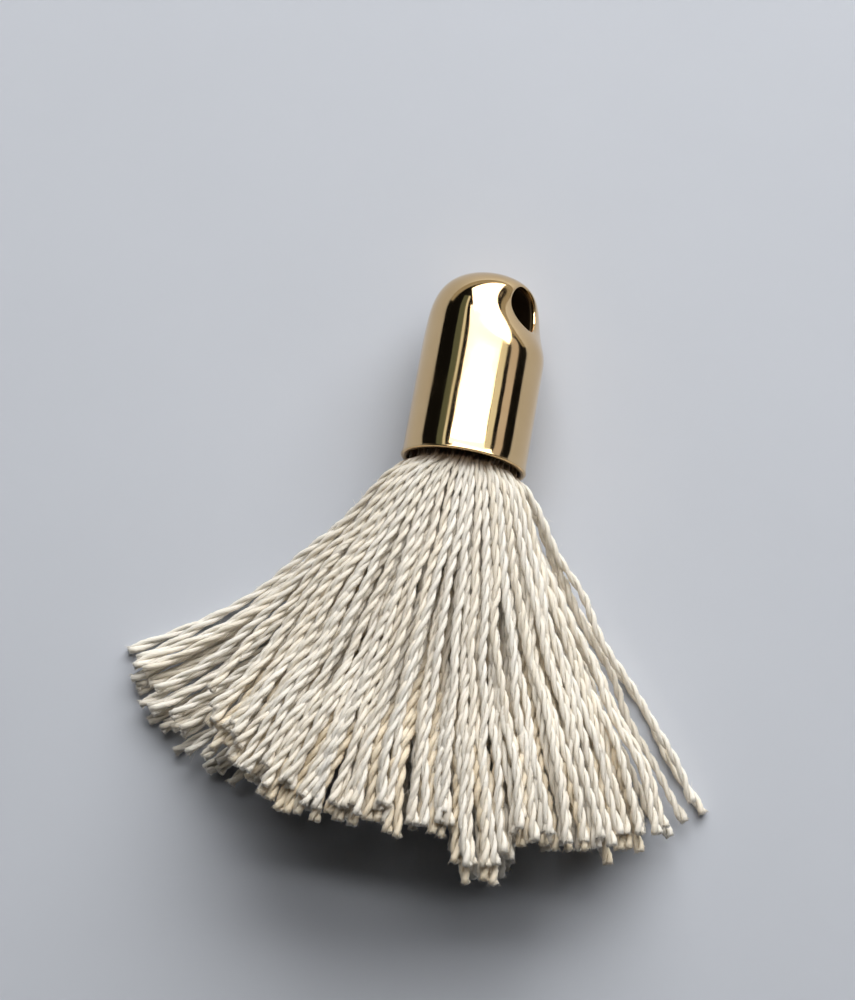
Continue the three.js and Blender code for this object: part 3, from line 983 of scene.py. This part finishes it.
def metal_finish(cap):
    """Polished pale gold with faint smudges, fine scratches and a little waviness, and painted shade
    inside the cap
    """
    material, tree, shader = new_material("polished_gold")
    patches, _ = mottle(tree, patch_scale=420.0, grain_scale=5200.0, contrast=2.2)
    inward = tone_of(tree)
    polished = colour_mix(tree, ranged(tree, patches, 0.0, 0.5), cap.colour, cap.tarnish)
    smudged = ranged(tree, patches, 0.045, 0.13)
    where = tree.nodes.new("ShaderNodeTexCoord").outputs["Object"]
    stretch = place(tree, "ShaderNodeMapping", Vector=where, Scale=(5200.0, 240.0, 5200.0))
    scratches = noise(tree, stretch.outputs["Vector"], scale=1.0, detail=3.0)
    scratched = relief(tree, scratches, strength=0.12, distance=0.004 * MM)
    wavy = noise(tree, where, scale=520.0, detail=1.0)
    fill(
        tree, shader,
        # Painted shade: points further inside take the dark inside colour
        Base_Color=colour_mix(tree, inward, polished, cap.inside),
        Metallic=1.0,
        Roughness=ranged(tree, inward, smudged, 0.6),
        Normal=relief(tree, wavy, strength=0.35, distance=0.03 * MM, under=scratched),
    )
    return material


def yarn_finish(yarn):
    """Matt ivory cotton: fibres that run along each ply, lighter and darker strands, painted shade under
    the crown and at the mouth; made once
    """
    made = bpy.data.materials.get("ivory_cotton")
    if made:
        return made
    material, tree, shader = new_material("ivory_cotton")
    run = place(tree, "ShaderNodeUVMap")
    run.uv_map = "run"
    stretch = place(tree, "ShaderNodeMapping", Vector=run.outputs["UV"], Scale=(13.0, 2.4, 1.0))
    fibres = noise(tree, stretch.outputs["Vector"], scale=1.0, detail=4.0, roughness=0.6)
    patches, grain = mottle(tree, patch_scale=330.0, grain_scale=9000.0, contrast=1.8)
    # Strands mix towards darker cotton by their random tone and by the painted shade under the crown
    base = colour_mix(tree, faded(tree, tone_of(tree), -1.0, 2.5), yarn.colour, yarn.darker_and_shaded_cotton)
    streaked = colour_mix(tree, ranged(tree, fibres, -0.15, 0.38), base, yarn.darker_and_shaded_cotton)
    patched = colour_mix(tree, ranged(tree, patches, 0.0, 0.22), streaked, yarn.darker_and_shaded_cotton)
    # Painted shade: the yarn turns dark brown towards the mouth and inside the cap
    along = place(tree, "ShaderNodeSeparateXYZ", Vector=run.outputs["UV"])
    clear_of_mouth_shade = faded(tree, along.outputs["Y"], -0.1, 0.55)
    fine = relief(tree, grain, strength=0.35, distance=0.02 * MM)
    fill(
        tree, shader,
        Base_Color=colour_mix(tree, clear_of_mouth_shade, yarn.root, patched),
        Roughness=ranged(tree, fibres, 0.95, 0.78),
        Specular_IOR_Level=0.1,
        Subsurface_Weight=0.5,
        Subsurface_Radius=(1.0, 1.0, 1.0),
        Subsurface_Scale=0.15 * MM,
        Sheen_Weight=0.15,
        Sheen_Tint=(1.0, 0.93, 0.8, 1.0),
        Sheen_Roughness=0.5,
        Normal=relief(tree, fibres, strength=0.8, distance=0.05 * MM, under=fine),
    )
    return material


def floor_finish(stage):
    """Smooth pale grey with a trace of unevenness"""
    material, tree, shader = new_material("pale_floor")
    patches, grain = mottle(tree, patch_scale=60.0, grain_scale=900.0, contrast=1.0)
    deeper = [FLOOR_SHADE * c for c in stage.floor]
    fill(
        tree, shader,
        Base_Color=colour_mix(tree, patches, deeper, stage.floor),
        Roughness=ranged(tree, grain, 0.6, 0.75),
        Specular_IOR_Level=0.2,
    )
    return material


# Operators


def aim(thing, where, right, back):
    """Adds a lamp or camera to the scene at its place, turned to its own right and back"""
    turned = Matrix((right, back.cross(right), back)).transposed().to_4x4()
    thing.matrix_world = Matrix.Translation(where) @ turned
    bpy.context.scene.collection.objects.link(thing)


class TASSEL_OT_make_cap(bpy.types.Operator):
    """Make the metal cap with its lip and cross hole"""

    bl_idname = "tassel.make_cap"
    bl_label = "Make Cap"
    bl_options = {"REGISTER", "UNDO"}

    def execute(self, context):
        cap = context.scene.tassel_cap
        cap_shell(cap).build("cap_shell", metal_finish(cap), "gold_cap", "gold_metal")
        return {"FINISHED"}


class TASSEL_OT_make_strands(bpy.types.Operator):
    """Make the plied strands of the skirt, in pieces from the floor to the crown"""

    bl_idname = "tassel.make_strands"
    bl_label = "Make Strands"
    bl_options = {"REGISTER", "UNDO"}

    def execute(self, context):
        yarn = context.scene.tassel_yarn
        finish = yarn_finish(yarn)
        for piece, members in roots_by_piece().items():
            sheet = Sheet()
            for root in members:
                add_strand(sheet, yarn, strand(yarn, root))
            sheet.build(piece, finish, "yarn_skirt", "cotton_yarn")
        return {"FINISHED"}


class TASSEL_OT_make_head(bpy.types.Operator):
    """Make the gathered head of yarn that the cap grips"""

    bl_idname = "tassel.make_head"
    bl_label = "Make Gathered Head"
    bl_options = {"REGISTER", "UNDO"}

    def execute(self, context):
        yarn = context.scene.tassel_yarn
        y = np.linspace(HEAD_START, HEAD_SINK + HEAD_LENGTH, HEAD_ROWS)
        angle = 2 * math.pi * np.arange(HEAD_COLUMNS) / HEAD_COLUMNS
        flutes = np.abs(np.sin(FLUTE_WAVES * angle + FLUTE_TWIST * (y / MM)[:, None]))
        radius = HEAD_RADIUS + FLUTE_DEPTH * flutes
        radius *= np.minimum(1, HEAD_END_GIRTH + (y - y[0]) / HEAD_END_RUN)[:, None]
        points = np.stack([radius * np.sin(angle), y[:, None] + 0 * radius, radius * np.cos(angle)], -1)
        run = np.broadcast_to([0.0, 1.0, 0.0], (len(y), 3))
        sheet = Sheet()
        # A run below zero paints the whole head in the dark painted shade of the mouth
        add_tube(sheet, points, -y / MM, run, FLUTE_DEPTH, HEAD_TONE)
        sheet.points = [cap_place(sheet.points[0])]
        sheet.build("gathered_head", yarn_finish(yarn), "yarn_skirt", "cotton_yarn")
        return {"FINISHED"}


class TASSEL_OT_make_fibres(bpy.types.Operator):
    """Make the loose fibres: brushes at the cut ends and stray hairs along the strands"""

    bl_idname = "tassel.make_fibres"
    bl_label = "Make Fibres"
    bl_options = {"REGISTER", "UNDO"}

    def execute(self, context):
        yarn = context.scene.tassel_yarn
        finish = yarn_finish(yarn)
        rng = np.random.default_rng(FIBRE_SEED)
        brushes, fuzz = Sheet(), Sheet()
        radius = yarn.ply_radius + yarn.ply_orbit
        for root in sum(roots_by_piece().values(), []):
            one = strand(yarn, root)
            along, over, side = strand_frame(one.line)

            # Brush: fibres set over the cut end that run on a little way and spread
            count = yarn.end_fibres
            out = spokes(rng.uniform(0, 2 * math.pi, count), over[-1], side[-1])
            away = BRUSH_REACH * radius * np.sqrt(rng.uniform(0, 1, count))
            base = one.line[-1] + away[:, None] * out - BRUSH_DEPTH * along[-1]
            spread = BRUSH_SPREAD * away / radius + rng.uniform(0, BRUSH_SPREAD_SCATTER, count)
            heading = along[-1] + out * spread[:, None]
            add_fibres(brushes, rng, BRUSH, base, heading, yarn.fibre_radius, one.tone)

            # Stray hairs: they stand off the strand's side, most of them towards its cut end
            count = yarn.fuzz_fibres
            place_on = rng.integers(FUZZ_FIRST_STEP, len(one.line) - 1, count)
            out = spokes(rng.uniform(0, 2 * math.pi, count), over[place_on], side[place_on])
            base = one.line[place_on] + FUZZ_REACH * radius * out
            onward = rng.choice([1, 1, 1, -1], count)[:, None]
            heading = unit(FUZZ_ALONG * along[place_on] * onward + FUZZ_OUTWARD * out)
            add_fibres(fuzz, rng, FUZZ, base, heading, yarn.fibre_radius, one.tone)
        brushes.build("cut_end_fibres", finish, "yarn_skirt", "cotton_yarn")
        fuzz.build("stray_fibres", finish, "yarn_skirt", "cotton_yarn")
        return {"FINISHED"}


class TASSEL_OT_make_stage(bpy.types.Operator):
    """Make the floor, the soft lights and the camera"""

    bl_idname = "tassel.make_stage"
    bl_label = "Make Stage"
    bl_options = {"REGISTER", "UNDO"}

    def execute(self, context):
        scene, stage = context.scene, context.scene.tassel_stage
        mesh = bpy.data.meshes.new("floor")
        corners = [(x * FLOOR_REACH, y * FLOOR_REACH, 0) for x, y in ((-1, -1), (1, -1), (1, 1), (-1, 1))]
        mesh.from_pydata(corners, [], [(0, 1, 2, 3)])
        mesh.materials.append(floor_finish(stage))
        floor = bpy.data.objects.new("floor", mesh)
        scene.collection.objects.link(floor)

        for lamp in LAMPS:
            self.softbox(lamp, stage.brightness)
        world = bpy.data.worlds.new("dim_room")
        world.use_nodes = True
        tree = world.node_tree
        fill(tree, tree.nodes["Background"], Color=(0.3, 0.31, 0.33, 1), Strength=0.02)
        scene.world = world
        self.camera(scene, stage)
        scene.view_settings.view_transform = "Standard"
        return {"FINISHED"}

    def softbox(self, lamp, brightness):
        """A flat soft light that faces the part, its width round the cap's axis and its depth along it"""
        light = bpy.data.lights.new(lamp.name, "AREA")
        light.shape = "RECTANGLE"
        light.size, light.size_y = (
            2 * LAMP_DISTANCE * math.tan(math.radians(angle) / 2) for angle in (lamp.width, lamp.depth)
        )
        light.energy = math.pi * light.size * light.size_y * lamp.strength * brightness
        light.color = lamp.colour
        across, back = math.radians(lamp.across), math.radians(lamp.back)
        level = math.cos(back)
        heading = Vector((math.sin(across) * level, math.sin(back), math.cos(across) * level))
        round_cap = Vector((math.cos(across), 0, -math.sin(across)))
        box = bpy.data.objects.new(lamp.name, light)
        aim(box, LAMP_DISTANCE * heading, round_cap, heading)
        box.visible_camera = False
        box.visible_diffuse = lamp.use == "light"

    def camera(self, scene, stage):
        """The photograph's view, the cap's mouth a little above and right of the picture's centre"""
        turn, rise = stage.azimuth, stage.elevation
        level = math.cos(rise)
        back = Vector((math.sin(turn) * level, -math.cos(turn) * level, math.sin(rise)))
        right = Vector((math.cos(turn), math.sin(turn), 0))
        up = back.cross(right)
        centre = MOUTH - VIEW_SHIFT[0] * right - VIEW_SHIFT[1] * up
        data = bpy.data.cameras.new("camera")
        data.sensor_width = FILM_WIDTH
        data.lens = FILM_WIDTH * LENS_LENGTH
        data.clip_start, data.clip_end = 1 * MM, 20.0
        camera = bpy.data.objects.new("camera", data)
        aim(camera, centre + stage.distance * back, right, back)
        scene.camera = camera


class VIEW3D_PT_tassel(bpy.types.Panel):
    """Settings and steps of the capped tassel"""

    bl_label = "Capped Tassel"
    bl_idname = "VIEW3D_PT_tassel"
    bl_space_type = "VIEW_3D"
    bl_region_type = "UI"
    bl_category = "Tassel"

    def draw(self, context):
        for group in GROUPS:
            box = self.layout.box()
            box.label(text=group.title)
            settings = getattr(context.scene, group.name)
            for name in group.settings.__annotations__:
                box.prop(settings, name)
            for step in group.steps:
                box.operator(step.bl_idname)


# Settings and steps, in the order that they are shown and registered
Group = namedtuple("Group", "title name settings steps")
YARN_STEPS = (TASSEL_OT_make_strands, TASSEL_OT_make_head, TASSEL_OT_make_fibres)
GROUPS = (
    Group("Cap", "tassel_cap", TasselCapSettings, (TASSEL_OT_make_cap,)),
    Group("Yarn", "tassel_yarn", TasselYarnSettings, YARN_STEPS),
    Group("Stage", "tassel_stage", TasselStageSettings, (TASSEL_OT_make_stage,)),
)


def register():
    for group in GROUPS:
        for kind in (group.settings, *group.steps):
            bpy.utils.register_class(kind)
        setattr(bpy.types.Scene, group.name, PointerProperty(type=group.settings))
    bpy.utils.register_class(VIEW3D_PT_tassel)


def unregister():
    bpy.utils.unregister_class(VIEW3D_PT_tassel)
    for group in reversed(GROUPS):
        delattr(bpy.types.Scene, group.name)
        for kind in (*group.steps, group.settings):
            bpy.utils.unregister_class(kind)


def main():
    register()
    bpy.ops.tassel.make_cap()
    bpy.ops.tassel.make_strands()
    bpy.ops.tassel.make_head()
    bpy.ops.tassel.make_fibres()
    bpy.ops.tassel.make_stage()


if __name__ == "__main__":
    main()
